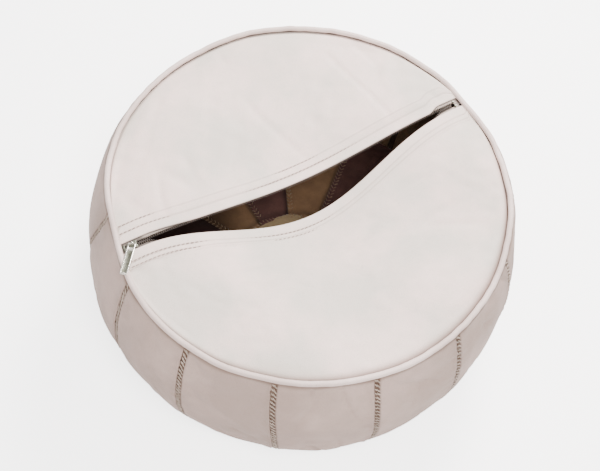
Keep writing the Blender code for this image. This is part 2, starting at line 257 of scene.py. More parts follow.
def tubes(paths, radii, sides=6):
    """Vertices and faces of capped tubes, one along each (points, 3) path, with a radius at each point."""
    vertices, faces = [], []
    turn = np.linspace(0, 2 * math.pi, sides, endpoint=False)
    for path, radius in zip(paths, radii):
        path = np.asarray(path, float)
        along = np.gradient(path, axis=0)
        along /= np.linalg.norm(along, axis=1, keepdims=True)
        helper = np.eye(3)[np.abs(along).max(axis=0).argmin()]
        across = np.cross(along, helper)
        across /= np.linalg.norm(across, axis=1, keepdims=True)
        up = np.cross(along, across)
        radius = np.broadcast_to(radius, len(path))
        rings = path[:, None] + radius[:, None, None] * (
            np.cos(turn)[None, :, None] * across[:, None] + np.sin(turn)[None, :, None] * up[:, None]
        )
        base = len(vertices)
        vertices.extend(rings.reshape(-1, 3))
        for face in grid_faces(len(path), sides, closed=True):
            faces.append(tuple(base + i for i in face))
        faces.append(tuple(base + i for i in reversed(range(sides))))
        last = base + (len(path) - 1) * sides
        faces.append(tuple(last + i for i in range(sides)))
    return np.array(vertices), faces


# --- Materials ------------------------------------------------------------------------------------------------


class Finish:
    """A node material under construction, with the nodes that every finish here shares."""

    def __init__(self, name, roughness, metallic=0.0):
        self.material = bpy.data.materials.new(name)
        self.material.use_nodes = True
        self.nodes = self.material.node_tree.nodes
        self.links = self.material.node_tree.links
        self.shader = self.nodes["Principled BSDF"]
        self.shader.inputs["Roughness"].default_value = roughness
        self.shader.inputs["Metallic"].default_value = metallic
        self.place = self.nodes.new("ShaderNodeTexCoord").outputs["Object"]

    def node(self, kind, **values):
        """A node with these values on its sockets, which are named with _ for a space."""
        made = self.nodes.new(kind)
        for key, value in values.items():
            made.inputs[key.replace("_", " ")].default_value = value
        return made

    def noise(self, scale, detail=4.0, roughness=0.55):
        made = self.node("ShaderNodeTexNoise", Scale=scale, Detail=detail, Roughness=roughness)
        self.links.new(self.place, made.inputs["Vector"])
        return made.outputs["Fac"]

    def cells(self, scale):
        """Distance to the border between grain cells."""
        made = self.node("ShaderNodeTexVoronoi", Scale=scale)
        made.feature = "DISTANCE_TO_EDGE"
        self.links.new(self.place, made.inputs["Vector"])
        return made.outputs["Distance"]

    def stored(self, name):
        made = self.nodes.new("ShaderNodeAttribute")
        made.attribute_name = name
        return made.outputs["Fac"]

    def spread(self, value, low, high, to_low=0.0, to_high=1.0):
        """Stretches the range from low to high over another, and clamps it."""
        made = self.node("ShaderNodeMapRange", From_Min=low, From_Max=high, To_Min=to_low, To_Max=to_high)
        self.links.new(value, made.inputs["Value"])
        return made.outputs["Result"]

    def mix(self, share, low, high):
        """Mixes two colours, each a tuple or a socket."""
        made = self.nodes.new("ShaderNodeMix")
        made.data_type = "RGBA"
        for socket, value in ((made.inputs[6], low), (made.inputs[7], high)):
            if isinstance(value, tuple):
                socket.default_value = (*value, 1)
            else:
                self.links.new(value, socket)
        if isinstance(share, float):
            made.inputs[0].default_value = share
        else:
            self.links.new(share, made.inputs[0])
        return made.outputs[2]

    def colour(self, socket):
        self.links.new(socket, self.shader.inputs["Base Color"])

    def rough(self, socket):
        self.links.new(socket, self.shader.inputs["Roughness"])

    def bump(self, *layers):
        """Stacks bumps of (height socket, distance in metres, strength)."""
        normal = None
        for height, distance, strength in layers:
            made = self.node("ShaderNodeBump", Distance=distance, Strength=strength)
            self.links.new(height, made.inputs["Height"])
            if normal is not None:
                self.links.new(normal, made.inputs["Normal"])
            normal = made.outputs["Normal"]
        self.links.new(normal, self.shader.inputs["Normal"])


def pale_leather(name, light, dark, pore_and_shade_colour):
    """Undyed leather: mottled and finely grained, with darker pores, and darkened by painted shade where the
    vertices say so.
    """
    finish = Finish(name, 0.55)
    patches = finish.spread(finish.noise(9), 0.4, 0.6)
    mottle = finish.spread(finish.noise(70, 6), 0.3, 0.75, 0.0, 0.35)
    base = finish.mix(patches, light, dark)
    base = finish.mix(mottle, base, dark)
    pores = finish.spread(finish.cells(620), 0.0, 0.12, 0.22, 0.0)
    base = finish.mix(pores, base, pore_and_shade_colour)
    # painted shade: the vertices' stored amount mixes the colour towards the darker third colour
    finish.colour(finish.mix(finish.stored("painted_shade"), base, pore_and_shade_colour))
    finish.rough(finish.spread(finish.noise(40), 0.3, 0.7, 0.5, 0.68))
    grain = finish.spread(finish.cells(620), 0.0, 0.25)
    finish.bump((finish.noise(32, 4), 0.002, 0.3), (grain, 0.0002, 0.35), (finish.noise(1600, 2), 0.0001, 0.3))
    finish.shader.inputs["Specular IOR Level"].default_value = 0.35
    return finish.material


def raw_leather(name, light, dark):
    """The flesh side: fibrous, blotchy and dull."""
    finish = Finish(name, 0.9)
    blotches = finish.spread(finish.noise(22, 8, 0.65), 0.35, 0.68)
    base = finish.mix(blotches, light, dark)
    fibre = finish.spread(finish.noise(420, 5, 0.7), 0.3, 0.75, 0.0, 0.5)
    base = finish.mix(fibre, base, dark)
    # painted shade: the vertices' stored amount darkens the flesh side towards a third of its dark colour
    shade = tuple(0.35 * c for c in dark)
    finish.colour(finish.mix(finish.stored("painted_shade"), base, shade))
    finish.bump((finish.noise(420, 5, 0.7), 0.0006, 0.6), (finish.noise(60, 3), 0.0015, 0.3))
    finish.shader.inputs["Sheen Weight"].default_value = 0.25
    finish.shader.inputs["Specular IOR Level"].default_value = 0.15
    return finish.material


def thread(name, light, dark):
    """Twisted thread, whose strands run slantwise."""
    finish = Finish(name, 0.75)
    twist = finish.node("ShaderNodeTexWave", Scale=700.0, Distortion=1.5)
    twist.bands_direction = "DIAGONAL"
    finish.links.new(finish.place, twist.inputs["Vector"])
    base = finish.mix(finish.spread(finish.noise(140), 0.35, 0.65), light, dark)
    finish.colour(finish.mix(finish.spread(twist.outputs["Fac"], 0.0, 1.0, 0.0, 0.35), base, dark))
    finish.bump((twist.outputs["Fac"], 0.0002, 0.6))
    finish.shader.inputs["Sheen Weight"].default_value = 0.2
    return finish.material


def woven(name, light, dark):
    """Close-woven tape."""
    finish = Finish(name, 0.85)
    warp = finish.node("ShaderNodeTexWave", Scale=420.0, Distortion=0.6)
    warp.bands_direction = "X"
    weft = finish.node("ShaderNodeTexWave", Scale=420.0, Distortion=0.6)
    weft.bands_direction = "Y"
    for wave in (warp, weft):
        finish.links.new(finish.place, wave.inputs["Vector"])
    both = finish.mix(0.5, warp.outputs["Color"], weft.outputs["Color"])
    base = finish.mix(finish.spread(both, 0.2, 0.8), dark, light)
    # painted shade: the vertices' stored amount darkens the tape towards a fifth of its dark colour
    finish.colour(finish.mix(finish.stored("painted_shade"), base, tuple(0.2 * c for c in dark)))
    finish.bump((both, 0.0002, 0.7))
    finish.shader.inputs["Sheen Weight"].default_value = 0.3
    return finish.material


def metal(name, light, dark, roughness):
    """Worn plated metal, with brighter rubbed patches and fine scratches."""
    finish = Finish(name, roughness, 1.0)
    tarnish = finish.spread(finish.noise(260, 6), 0.4, 0.7)
    finish.colour(finish.mix(tarnish, light, dark))
    finish.rough(finish.spread(finish.noise(900, 4), 0.3, 0.7, roughness - 0.1, roughness + 0.15))
    scratches = finish.node("ShaderNodeTexWave", Scale=900.0, Distortion=9.0, Detail=3.0)
    finish.links.new(finish.place, scratches.inputs["Vector"])
    finish.bump((scratches.outputs["Fac"], 0.00002, 0.3), (finish.noise(300, 3), 0.00005, 0.25))
    return finish.material


# The third colour of each pale leather is that of its pores and of the painted shade.
FACE_LEATHER = pale_leather("face_leather", (0.88, 0.70, 0.645), (0.66, 0.60, 0.535), (0.24, 0.165, 0.14))
# painted shade: the sides' leather is the face's pale leather in a darker colour, standing in for the shade on
# the upright sides
SIDE_LEATHER = pale_leather("side_leather", (0.50, 0.37, 0.325), (0.385, 0.285, 0.245), (0.12, 0.075, 0.052))
WELT_LEATHER = pale_leather("welt_leather", (0.80, 0.66, 0.615), (0.62, 0.50, 0.46), (0.27, 0.19, 0.17))
TAN_RAW = raw_leather("tan_raw_leather", (0.27, 0.165, 0.09), (0.15, 0.085, 0.045))
PLUM_RAW = raw_leather("plum_raw_leather", (0.135, 0.066, 0.056), (0.07, 0.033, 0.028))
OLIVE_RAW = raw_leather("olive_raw_leather", (0.46, 0.34, 0.20), (0.28, 0.20, 0.11))
SEAM_THREAD = thread("seam_thread", (0.54, 0.44, 0.37), (0.30, 0.235, 0.185))
HEM_THREAD = thread("hem_thread", (0.34, 0.23, 0.20), (0.22, 0.15, 0.125))
GORE_THREAD = thread("gore_thread", (0.30, 0.22, 0.14), (0.17, 0.115, 0.07))
CORD = thread("cotton_cord", (0.80, 0.73, 0.62), (0.62, 0.54, 0.43))
TAPE_CLOTH = woven("zip_tape", (0.60, 0.50, 0.44), (0.38, 0.31, 0.26))
# painted shade: the teeth are given a near-black colour, standing in for the shade they lie in down the mouth
TEETH = thread("zip_teeth", (0.13, 0.10, 0.08), (0.06, 0.045, 0.036))
NICKEL = metal("nickel", (0.80, 0.78, 0.72), (0.50, 0.49, 0.42), 0.24)
# painted shade: a darker copy of the nickel, for faces that should look dim instead of reflecting the bright sky
SHADED_NICKEL = metal("shaded_nickel", (0.17, 0.175, 0.145), (0.085, 0.085, 0.06), 0.4)


# --- Closing face ---------------------------------------------------------------------------------------------


class Lip:
    """One half of the closing face: side is -1 for the near half and +1 for the far half."""

    def __init__(self, name, side, opened, peak, cover, fold, stitch_rows, seed):
        self.name = name
        self.side = side
        self.opened = opened
        self.peak = peak
        self.cover = cover
        self.fold = fold
        self.stitch_rows = stitch_rows
        self.seed = seed
        closing = joint(f"{name}_lip_close")
        self.droop = -np.array(closing["axis"]) * closing["range_m"][1]

    def gape(self, x):
        """Share of the droop at x along the lip."""
        share = np.clip((x - MOUTH_START) / (MOUTH_END - MOUTH_START), 0, 1)
        return self.opened * np.sin(math.pi * share ** (math.log(0.5) / math.log(self.peak))) ** GAPE_POWER

    def slot(self, x):
        """From the zip's centre line to the edge of the leather, which is drawn back where the slider parks."""
        drawn_back = smooth((-x - SLIDER_SLOT[0]) / SLIDER_SLOT[1])
        drawn_back = drawn_back + smooth((x - STOP_SLOT[0]) / STOP_SLOT[1])
        return SLOT - self.cover * (1 - drawn_back)

    def tape_share(self, x, y):
        """The tape's share of the droop, at y from the centre line: its free edge folds down into the mouth."""
        free = np.clip((self.slot(x) - y) / SLOT, 0, 1)
        gape = self.gape(x)
        return gape + self.fold * free * smooth(gape / 0.05)

    def carry(self, piece, share, slot, *nodes):
        """Opens the mouth: moves each vertex by its share of the droop."""
        coords = np.array([v.co for v in piece.data.vertices])
        opened = coords + np.asarray(share)[:, None] * self.droop
        piece.data.vertices.foreach_set("co", opened.ravel())
        piece.data.update()
        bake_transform(piece)
        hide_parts(*nodes)

    def hem_height(self, distance):
        """Relief of the folded hem, with a groove under each row of topstitching."""
        height = 1.0 * MM * (1 - smooth((distance - HEM + 1.5 * MM) / (3 * MM)))
        for row in self.stitch_rows:
            height = height - 0.45 * MM * bell(distance - row, 1.1 * MM)
        return height


NEAR = Lip("near", -1, 1.0, 0.48, 0.0, 0.17, (13.5 * MM, 20.5 * MM), 5)
FAR = Lip("far", 1, 0.76, 0.5, 5.5 * MM, 0.0, (12.5 * MM, 22.5 * MM), 6)


def lip_and_rim(lip):
    """End points of the rulings that cover a half disc, from its lip to the rim."""
    inner = RING - ROLL + 0.4 * MM
    corner = lip.side * math.asin((ZIP_Y + lip.side * SLOT) / inner)
    u = np.linspace(0, 1, FACE_COLUMNS)
    turn = corner + (math.pi - 2 * corner) * u
    angle = np.arctan2(lip.side * np.sin(turn), -np.cos(turn))
    radius = inner * pinch(angle) + wander(angle)
    rim = np.stack([radius * np.cos(angle), radius * np.sin(angle)], -1)
    x = -inner * math.cos(corner) * np.cos(math.pi * u)
    x = np.clip(x, rim[0, 0], rim[-1, 0])
    edge = np.stack([x, ZIP_Y + lip.side * lip.slot(x)], -1)
    return edge, rim


def creases(plan, lip):
    """Relief of slack leather over the half disc: broad waves, long soft folds and small wrinkles."""
    x, y = plan[..., 0], plan[..., 1]
    flat = np.stack([x, y, np.zeros_like(x)], -1)
    broad = 2.3 * MM * ripples(flat, 0.17, lip.seed)
    patch = smooth(ripples(flat, 0.16, lip.seed + 40) * 0.8 + 0.4)
    long = -1.7 * MM * folds(x, y, -73 if lip.side > 0 else -8, 0.055, lip.seed + 20) * patch
    small = 0.35 * MM * ripples(flat, 0.024, lip.seed + 60) * smooth(ripples(flat, 0.07, lip.seed + 80))
    return broad + long + small


def face_half(lip):
    """The half disc of leather: a closed section that folds round its lip, and turns down beside the welt."""
    edge, rim = lip_and_rim(lip)
    length = np.linalg.norm(rim - edge, axis=1)
    toward = (rim - edge) / np.maximum(length, 1e-6)[:, None]
    outward = rim / np.linalg.norm(rim, axis=1, keepdims=True)
    gape = lip.gape(edge[:, 0])
    squeeze = np.minimum(1, length / (3 * HEM))
    # painted shade along the groove against the welt, strongest on the near side
    rim_painted_shade = 0.3 + 0.65 * smooth(0.2 - 1.3 * outward[:, 1])
    base = FACE_Z - 0.4 * MM
    layers, shares, painted_shades = [], [], []

    def add_turned_down(out, down, painted_shade):
        layers.append(np.column_stack([rim + outward * out * MM, np.full(len(rim), FACE_Z + down * MM)]))
        shares.append(np.zeros(len(rim)))
        painted_shades.append(np.full(len(rim), painted_shade))

    def add_row(distance, nose=None, under=False):
        beyond = max(0.0, (distance - HEM_ZONE) / (FACE_REACH - HEM_ZONE))
        reach = min(distance, HEM_ZONE) * squeeze + beyond * (length - HEM_ZONE * squeeze)
        plan = edge + toward * reach[:, None]
        left = length - reach
        if nose is None:
            calm = smooth(distance / HEM) * smooth(left / (25 * MM))
            z = base + calm * creases(plan, lip) - 2.8 * MM * np.exp(-left / (3 * MM))
            z = z - LEATHER if under else z + lip.hem_height(distance)
        else:
            z = np.full(len(rim), base + nose * MM)
        layers.append(np.column_stack([plan, z]))
        fade = np.clip((reach - HEM_RIGID) / np.maximum(length - HEM_RIGID, MM), 0, 1)
        shares.append(gape * (1 - fade) ** SAG)
        # painted shade: in the groove under each row of topstitching, and dark on the hem's underside and fold
        shade_amount = sum(0.35 * bell(distance - row, 1.0 * MM) for row in lip.stitch_rows)
        shade_amount = 0.9 if under or (nose or 0) < 0 else float(shade_amount)
        painted_shades.append(np.full(len(rim), shade_amount) + rim_painted_shade * bell(left, (5.0 - 2.2 * lip.side) * MM))

    # painted shade on the leather turned down beside the welt
    add_turned_down(0.2, -10.5, 0.9)
    add_turned_down(-0.1, -5.5, 0.9)
    for distance in FACE_ROWS[::-3]:
        add_row(distance, under=True)
    for distance, height in NOSE:
        add_row(distance * MM, nose=height)
    for distance in FACE_ROWS:
        add_row(distance)
    for out, down in ((0.7, -2.6), (1.5, -5.5), (1.8, -10.5)):
        add_turned_down(out, down, 0.5)
    faces = loop_faces(len(layers), FACE_COLUMNS)
    piece = new_piece(f"{lip.name}_face_leather", np.array(layers), faces, FACE_LEATHER)
    if lip.side < 0:
        piece.data.flip_normals()
    store(piece, "painted_shade", painted_shades)
    lip.carry(piece, np.concatenate(shares), "face_leather", f"{lip.name}_half_panel")


def topstitching(lip):
    """Two rows of short stitches along the hem."""
    paths = []
    for row in lip.stitch_rows:
        reach = math.sqrt((RING - 13 * MM) ** 2 - (ZIP_Y + lip.side * (SLOT + row)) ** 2)
        count = int(2 * reach / STITCH_PITCH)
        for i in range(count):
            x = -reach + 2 * reach * (i + 0.5) / count
            span = np.linspace(-0.34, 0.34, 6) * STITCH_PITCH
            y = ZIP_Y + lip.side * (lip.slot(x) + row)
            z = FACE_Z - 0.4 * MM + lip.hem_height(row) + (0.3 - 0.5 * (span / span[-1]) ** 4) * MM
            paths.append(np.column_stack([x + span, y + 0.12 * span, z]))
    vertices, faces = tubes(paths, [0.5 * MM] * len(paths))
    piece = new_piece(f"{lip.name}_topstitching", vertices, faces, HEM_THREAD)
    lip.carry(piece, lip.gape(vertices[:, 0]), "seam_thread")


def tape(lip):
    """The woven tape under the hem, with a corded edge that carries the teeth."""
    profile = [(3.6, -0.9), (3.2, -0.5), (3.6, -0.1), (4.6, 0.0), (5.4, -0.25), (9, -0.3)]
    profile += [(16.5, -0.3), (16.5, -0.6), (9, -0.7), (5, -0.75)]
    reach = ZIP_END + TAPE_TUCK
    x = np.concatenate([np.linspace(-reach, -ZIP_END, 6), np.linspace(-ZIP_END, ZIP_END, 260)[1:-1]])
    x = np.concatenate([x, np.linspace(ZIP_END, reach, 6)])
    tuck = 2.5 * MM * np.clip((np.abs(x) - ZIP_END) / TAPE_TUCK, 0, 1) ** 2
    close = 1 - 0.88 * smooth((np.abs(x) - CHAIN_END) / (3 * MM))
    rows = []
    for y, z in profile:
        across = y * MM * (close if y < 5 else np.ones_like(x))
        rows.append(np.column_stack([x, ZIP_Y + lip.side * across, TAPE_Z + z * MM - tuck]))
    points = np.array(rows).reshape(-1, 3)
    piece = new_piece(f"{lip.name}_tape", points, loop_faces(len(rows), len(x)), TAPE_CLOTH)
    if lip.side < 0:
        piece.data.flip_normals()
    across = lip.side * (points[:, 1] - ZIP_Y)
    # painted shade: dark under the leather's edge, and towards the -X end of the mouth
    shade_amount = 0.9 * smooth((across - lip.slot(points[:, 0]) + 1.4 * MM) / (1.2 * MM))
    shade_from, shade_over = (110 * MM, 60 * MM) if lip.side < 0 else (203 * MM, 8 * MM)
    store(piece, "painted_shade", np.maximum(shade_amount, 0.8 * smooth((-points[:, 0] - shade_from) / shade_over)))
    lip.carry(piece, lip.tape_share(points[:, 0], across), "zip_tape", f"{lip.name}_zip_tape")


def teeth(lip):
    """A row of coil teeth, each a loop reaching to the zip's centre line. The far row is half a pitch on."""
    count = int(2 * CHAIN_END / TEETH_PITCH)
    centre = TAPE_Z - 0.3 * MM
    loop = [(4.4, 1.0), (3.0, 1.1), (1.2, 1.0), (0.1, 0.5), (0.1, -0.5), (1.2, -1.0), (3.0, -1.0), (4.4, -0.6)]
    bulge = [0.40, 0.42, 0.45, 0.62, 0.62, 0.45, 0.42, 0.40]
    paths = []
    for i in range(count):
        x = -CHAIN_END + TEETH_PITCH * (i + (0.25 if lip.side < 0 else 0.75))
        leans = np.linspace(-0.35, 0.35, len(loop)) * MM
        points = [(x + lean, lip.side * y * MM, z * MM) for lean, (y, z) in zip(leans, loop)]
        paths.append([(px, ZIP_Y + py, centre + pz) for px, py, pz in points])
    vertices, faces = tubes(paths, [np.array(bulge) * MM] * len(paths))
    piece = new_piece(f"{lip.name}_teeth", vertices, faces, TEETH)
    across = lip.side * (vertices[:, 1] - ZIP_Y)
    lip.carry(piece, lip.tape_share(vertices[:, 0], across), "zip_teeth", f"{lip.name}_zip_chain")


# --- Sides, crown and welt ------------------------------------------------------------------------------------


def side_section(t):
    """Radius and height of the sides' outside at t, from the foot at 0 to the welt at 1."""
    base = SIDE_FOOT + np.asarray(t)[..., None] * (SIDE_TOP - SIDE_FOOT)
    return base[..., 0] + SWELL * np.sin(math.pi * np.clip(t, 0, 1)) ** FULLNESS, base[..., 1]


def side_point(t, angle, lift=0.0):
    """A point on the sides, drawn in with the rim towards the top."""
    radius, z = side_section(t)
    near_rim = smooth((t - 0.35) / 0.6)
    radius = radius * (1 - (1 - pinch(angle)) * near_rim) + wander(angle) * near_rim
    return around(radius + lift, angle, z)


def seam_angle(index, t):
    """Angle round Z, at t up the sides, of the seam that a panel starts from."""
    foot, top = SEAM_STRAY.get(index % PANELS, (0, 0))
    return FIRST_SEAM + index * STEP + np.radians(foot + (top - foot) * smooth((t - 0.2) / 0.8))


def side_panel(index):
    """One panel: its left edge runs under the seam before it, and its right edge is folded and laced over."""
    columns = 44
    t = np.concatenate([[0, 0.004], np.linspace(0.012, 0.97, 72), [0.98, 0.987, 0.992, 0.996, 1]])[:, None]
    start, end = seam_angle(index, t), seam_angle(index + 1, t)
    radius, height = side_section(t)
    s = np.linspace(0, 1, columns)[None, :]
    left = start - 1.1 * SEAM_BAND / radius
    right = end - 0.8 * SEAM_BAND / radius
    angle = left + (right - left) * (s - 0.06 * np.sin(2 * math.pi * s))
    from_left = (angle - start) * radius
    from_right = (right - angle) * radius
    place = around(radius, angle, height)
    middle_share = np.sin(math.pi * np.clip((angle - start) / (end - start), 0, 1))
    lift = PUFF.get(index, PUFF_ELSEWHERE) * middle_share * np.sin(math.pi * t) ** 0.7
    slanting = folds(angle * RING, height + 0 * angle, -50 - 12 * (index % 3), 0.045, 700 + index)
    lift = lift - 3.6 * MM * slanting * middle_share * smooth(0.5 + ripples(place, 0.14, 720 + index))
    lift = lift - 1.7 * MM * (1 - smooth((from_left - 0.6 * SEAM_BAND) / (0.6 * SEAM_BAND)))
    lift = lift + 0.5 * MM * bell(from_right, 3 * MM) - 1.0 * MM * bell(from_right, 0.7 * MM)
    pucker = np.exp(-np.minimum(np.abs(from_left), np.abs(from_right)) / (14 * MM))
    lift = lift + 0.45 * MM * pucker * ripples(place * np.array([1, 1, 1.6]), 0.018, 100 + index)
    lift = lift + 1.3 * MM * middle_share * ripples(place, 0.11, 200 + index)
    slack = smooth(ripples(place, 0.08, 300 + index))
    lift = lift + 0.35 * MM * slack * middle_share * ripples(place * np.array([1, 1, 0.45]), 0.02, 400 + index)
    lift = lift * smooth((1 - t) / 0.03)
    grid = side_point(np.broadcast_to(t, angle.shape), angle, lift)
    # painted shade: in the recessed band under the lacing, beside the folded right edge, at the foot, and under
    # the welt
    painted_shade = 1.0 - smooth((from_left - 0.75 * SEAM_BAND) / (0.55 * SEAM_BAND)) + 0.15 * bell(from_right, 8 * MM)
    painted_shade = painted_shade + 0.25 * bell(t, 0.08) + 0.75 * smooth((t - 0.975) / 0.025)
    piece = sheet(f"side_leather_{index + 1:02d}", grid, SIDE_LEATHER, TAN_RAW)
    store(piece, "painted_shade", painted_shade)
    thicken(piece, LEATHER, inner_slot=1)
    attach(piece, "shell")
    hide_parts(f"side_panel_{index + 1:02d}")


def side_lacing(index):
    """Braided thread over the seam at the start of a panel: two strands that slant across it side by side."""
    samples = np.linspace(0.02, 0.99, 500)
    radius, z = side_section(samples)
    length = np.concatenate([[0], np.cumsum(np.hypot(np.diff(radius), np.diff(z)))])
    rng = np.random.default_rng(500 + index)
    paths, radii = [], []
    for step in range(int(length[-1] / LACE_PITCH)):
        for low, high, drop, lift in LACE_STRANDS:
            cross = np.linspace(0, 1, 6)
            arc = 1 - (2 * cross - 1) ** 2
            top = length[-1] - LACE_PITCH * step + rng.normal(0, 0.35) * MM
            at = top - (drop + rng.normal(0, 0.5)) * MM * cross
            t = np.interp(at, length, samples)
            across = (low + (high - low) * cross + rng.normal(0, 0.25)) * MM
            angle = seam_angle(index, t) + across / side_section(t)[0]
            full = 0.72 + 0.28 * smooth((t - 0.7) / 0.2)
            paths.append(side_point(t, angle, (lift - 1.0 + 0.9 * arc) * MM))
            radii.append((0.45 + 0.55 * arc**0.5) * full * LACE_THREAD * rng.uniform(0.85, 1.15))
    vertices, faces = tubes(paths, radii)
    piece = new_piece(f"side_lacing_{index + 1:02d}", vertices, faces, SEAM_THREAD)
    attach(piece, "shell")
    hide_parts(f"side_lace_{index + 1:02d}")


def floor_height(radius, angle):
    """Upper side of the crown's leather, which lies in soft bumps on the floor."""
    place = around(radius, angle, 0.0)
    return 2.4 * MM + 1.6 * MM * smooth(0.5 + 0.5 * ripples(place, 0.09, 71)) * smooth((0.24 - radius) / 0.03)


def gore(index):
    """One gore of the crown: raw side up, lapped over the next, with its rim turned up inside the sides."""
    rows, columns = 46, 26
    start = FIRST_GORE_SEAM + index * STEP
    inner = MEDALLION - 6 * MM
    radius = np.concatenate([np.linspace(inner, 245 * MM, rows - 4), np.array([248, 250.5, 252, 253]) * MM])
    rise = np.concatenate([np.zeros(rows - 4), np.array([1.5, 5, 11, 18]) * MM])[:, None]
    radius = radius[:, None] * 0.985
    s = np.linspace(0, 1, columns)[None, :]
    angle = start + STEP * s + (2 * s - 1) * 4 * MM / radius
    from_left = (angle - start) * radius
    from_right = (start + STEP - angle) * radius
    middle_share = np.sin(math.pi * np.clip(s, 0, 1)) ** 0.6
    z = floor_height(np.broadcast_to(radius, angle.shape), angle) + 1.5 * MM * middle_share
    z = z + 1.7 * MM * (1 - smooth((from_right - 2 * MM) / (3 * MM))) + rise
    z = z + 1.0 * MM * smooth((MEDALLION + 6 * MM - radius) / (6 * MM))
    wrinkle = ripples(around(radius, angle, 0.0), 0.03, 610 + index)
    z = z + 0.5 * MM * wrinkle * middle_share
    grid = around(np.broadcast_to(radius, angle.shape), angle, z)
    raw = TAN_RAW if index % 2 == 0 else PLUM_RAW
    piece = sheet(f"gore_leather_{index + 1:02d}", grid, raw, SIDE_LEATHER)
    if piece.data.polygons[0].normal.z < 0:
        piece.data.flip_normals()
    # painted shade: darker towards -X inside the pouf
    shade = 0.92 * smooth((-grid[..., 0] - 12 * MM) / (60 * MM))
    # painted shade along the edges lapped over each gore and along the medallion's edge
    edges = 0.8 * bell(from_left - 5 * MM, 3 * MM) + 0.5 * bell(radius - MEDALLION, 5 * MM)
    store(piece, "painted_shade", shade + edges)
    thicken(piece, LEATHER, inner_slot=1)
    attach(piece, "shell")
    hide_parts(f"crown_gore_{index + 1:02d}")


def gore_sewing():
    """Slanted stitches along every gore seam, and round the medallion's edge."""
    paths = []
    rng = np.random.default_rng(9)
    for index in range(PANELS):
        seam = FIRST_GORE_SEAM + index * STEP
        for r in np.arange(MEDALLION + 8 * MM, 240 * MM, 6 * MM):
            for side in (-1, 1):
                cross = np.linspace(-1, 1, 5)
                radius = r + 1.8 * MM * cross * side + rng.normal(0, 0.3) * MM
                angle = seam + (side * 2.1 + 1.5 * cross) * MM / radius
                z = floor_height(radius, angle) + (2.6 - 0.8 * cross**2) * MM
                paths.append(around(radius, angle, z))
    for angle_at in np.arange(0, 2 * math.pi, 5.5 * MM / MEDALLION):
        cross = np.linspace(-1, 1, 5)
        radius = polygon_radius(angle_at) - 3 * MM + 2.2 * MM * cross
        angle = angle_at + 1.3 * MM * cross / MEDALLION
        z = floor_height(radius, np.full(5, angle_at)) + (3.6 - 1.2 * cross**2) * MM
        paths.append(around(radius, angle, z))
    vertices, faces = tubes(paths, [0.55 * MM] * len(paths), sides=5)
    piece = new_piece("crown_sewing", vertices, faces, GORE_THREAD)
    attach(piece, "shell")


def polygon_radius(angle):
    """Distance from the centre to the side of the medallion's polygon."""
    off = (angle - FIRST_GORE_SEAM) % STEP - STEP / 2
    return MEDALLION * math.cos(STEP / 2) / np.cos(off)


def medallion():
    """The polygon at the crown's centre: raw side up, with its folded edge lapped over the gores."""
    turns = PANELS * 12
    angle = np.linspace(0, 2 * math.pi, turns, endpoint=False)[None, :]
    share = np.array([0.02, 0.15, 0.3, 0.45, 0.6, 0.72, 0.82, 0.9, 0.95, 0.975, 0.99, 1.0])[:, None]
    radius = share * polygon_radius(angle)
    lift = 1.9 * MM + 1.2 * MM * bell(share - 0.96, 0.02) - 1.6 * MM * smooth((share - 0.985) / 0.015)
    z = floor_height(radius, angle + 0 * radius) + lift
    z = z + 0.5 * MM * ripples(around(radius, angle, 0.0), 0.035, 81)
    grid = around(radius, angle, z)
    piece = sheet("medallion_leather", grid, OLIVE_RAW, SIDE_LEATHER, closed=True)
    hub = bmesh.new()
    hub.from_mesh(piece.data)
    bmesh.ops.holes_fill(hub, edges=[e for e in hub.edges if e.is_boundary and e.verts[0].co.xy.length < 0.01])
    bmesh.ops.recalc_face_normals(hub, faces=hub.faces)
    hub.to_mesh(piece.data)
    hub.free()
    if piece.data.polygons[0].normal.z < 0:
        piece.data.flip_normals()
    # painted shade in the hollow inside the folded edge
    store(piece, "painted_shade", np.broadcast_to(0.6 * bell(share - 0.93, 0.03), (len(share), turns)))
    thicken(piece, 1.2 * MM, inner_slot=1)
    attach(piece, "shell")
    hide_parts("crown_medallion")


def ring_path(count):
    """Angle, radius and height of the welt's centre line."""
    angle = np.linspace(0, 2 * math.pi, count, endpoint=False)
    uneven = 0.15 * MM * ripples(around(RING, angle, 0.0), 0.02, 32)
    return angle, RING * pinch(angle) + wander(angle) + uneven, TOP - ROLL + uneven - 0.3 * MM


def welt():
    """A leather tube round the rim, with slight creases across it, two tails, and a join where its ends lap."""
    count, around_count = 720, 18
    angle, radius, height = ring_path(count)
    opening = math.radians(14)
    turn = np.linspace(-math.pi / 2 + opening, 1.5 * math.pi - opening, around_count)
    place = around(radius, angle, height)
    section = ROLL * (1 - 0.035 * bell(ripples(place, 0.03, 33), 0.3))
    join_at = math.radians(265.75)
    join = (angle - join_at + math.pi) % (2 * math.pi) - math.pi
    section = section * (1 + 0.07 * smooth(join / 0.004 + 0.5) * (1 - smooth((join - 0.05) / 0.06)))
    rows = [around(radius + 1.3 * MM, angle, height - 14 * MM)]
    for a in turn:
        rows.append(around(radius + section * math.cos(a), angle, height + section * math.sin(a)))
    rows.append(around(radius - 1.3 * MM, angle, height - 14 * MM))
    grid = np.array(rows)
    piece = sheet("welt_leather", grid, WELT_LEATHER, closed=True)
    # painted shade on the lower half of the tube and its tails, down into the grooves on both sides
    groove = np.concatenate([[1], 0.8 * smooth((0.15 - np.sin(turn)) / 0.5), [1]])
    store(piece, "painted_shade", np.broadcast_to(groove[:, None], grid.shape[:2]))
    thicken(piece, 0.9 * MM)
    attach(piece, "shell")
    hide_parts("welt_cover")


